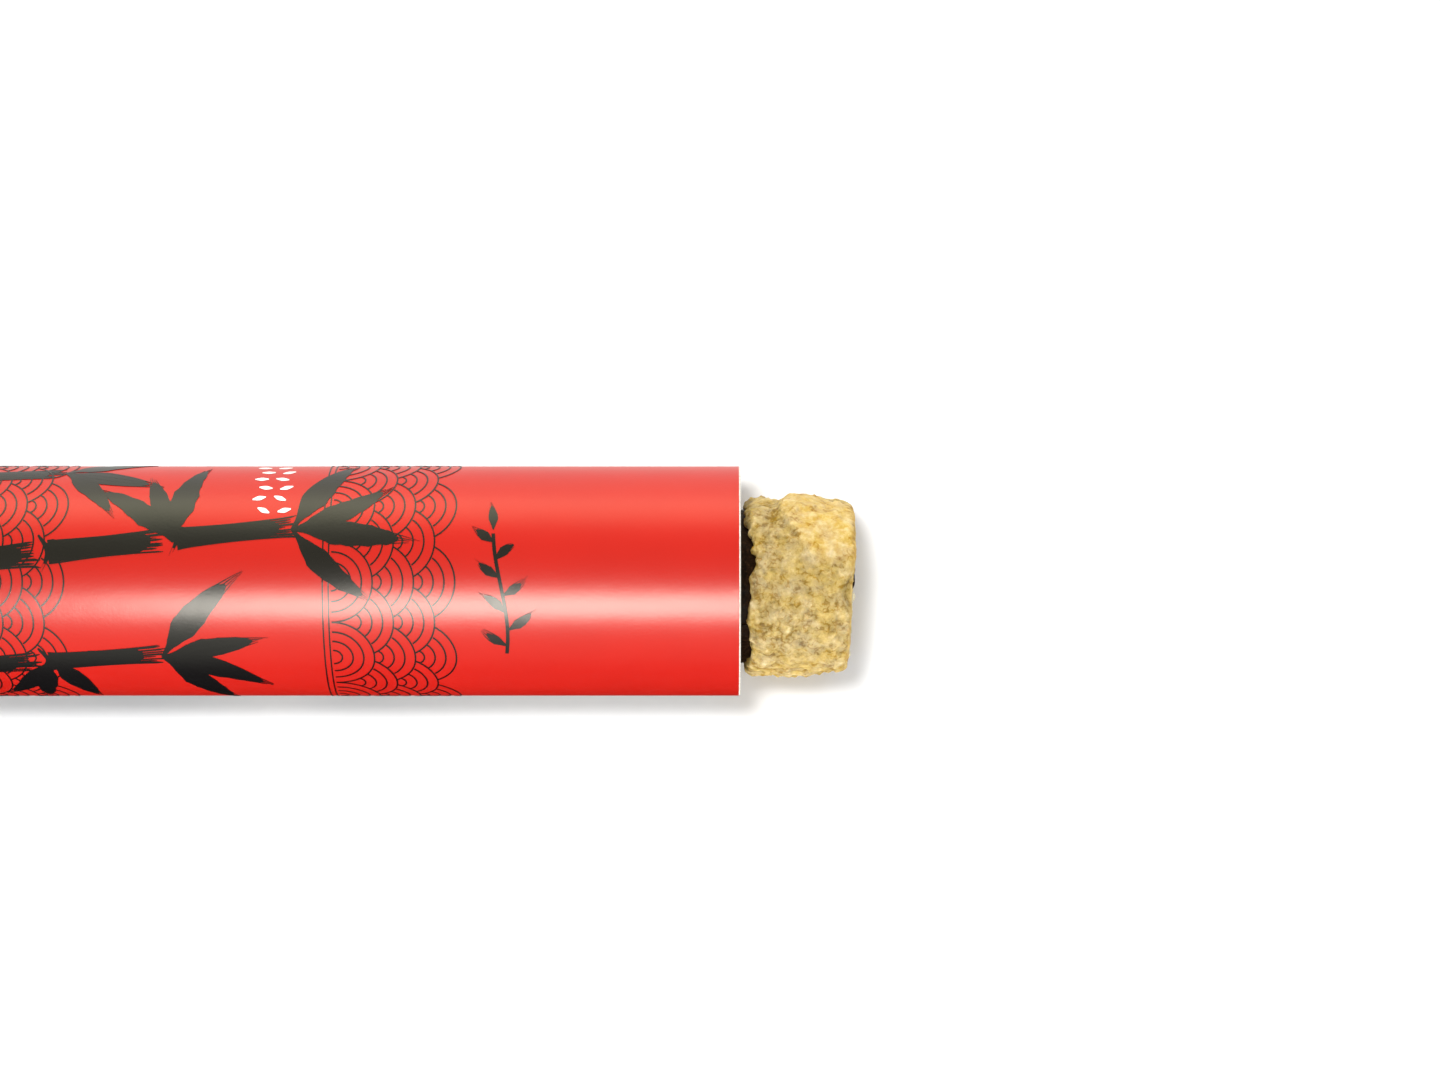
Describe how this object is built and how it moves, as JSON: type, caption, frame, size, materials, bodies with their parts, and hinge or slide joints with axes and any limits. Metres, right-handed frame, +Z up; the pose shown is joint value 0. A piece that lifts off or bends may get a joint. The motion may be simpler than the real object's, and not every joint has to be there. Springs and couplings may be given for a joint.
{
  "type": "sushi pop",
  "caption": "Fried sushi roll of shrimp, rice and seaweed in a red paper tube, its first slice pushed out at the open end.",
  "frame": {"origin": "middle of the narrow flat strip under the tube, on the surface it rests on", "axes": "+X along the tube towards its open end and the slice that stands out of it, +Y across it, +Z up from the surface"},
  "size_m": [0.2663, 0.052, 0.0517],
  "materials": {
    "red_coated_paper": "gloss",
    "grey_paper_board": "matte",
    "fried_batter": "satin",
    "toasted_seaweed": "satin",
    "cooked_rice": "satin",
    "soaked_yellow_batter": "satin",
    "cooked_shrimp": "satin"
  },
  "bodies": {
    "root": {"tube": "red_coated_paper", "base_disc": "grey_paper_board", "roll_in_tube": "fried_batter", "batter_crust": "fried_batter", "nori_wrap": "toasted_seaweed", "nori_flap": "toasted_seaweed", "sushi_rice": "cooked_rice", "shrimp_batter": "soaked_yellow_batter", "shrimp": "cooked_shrimp"}
  },
  "joints": []
}
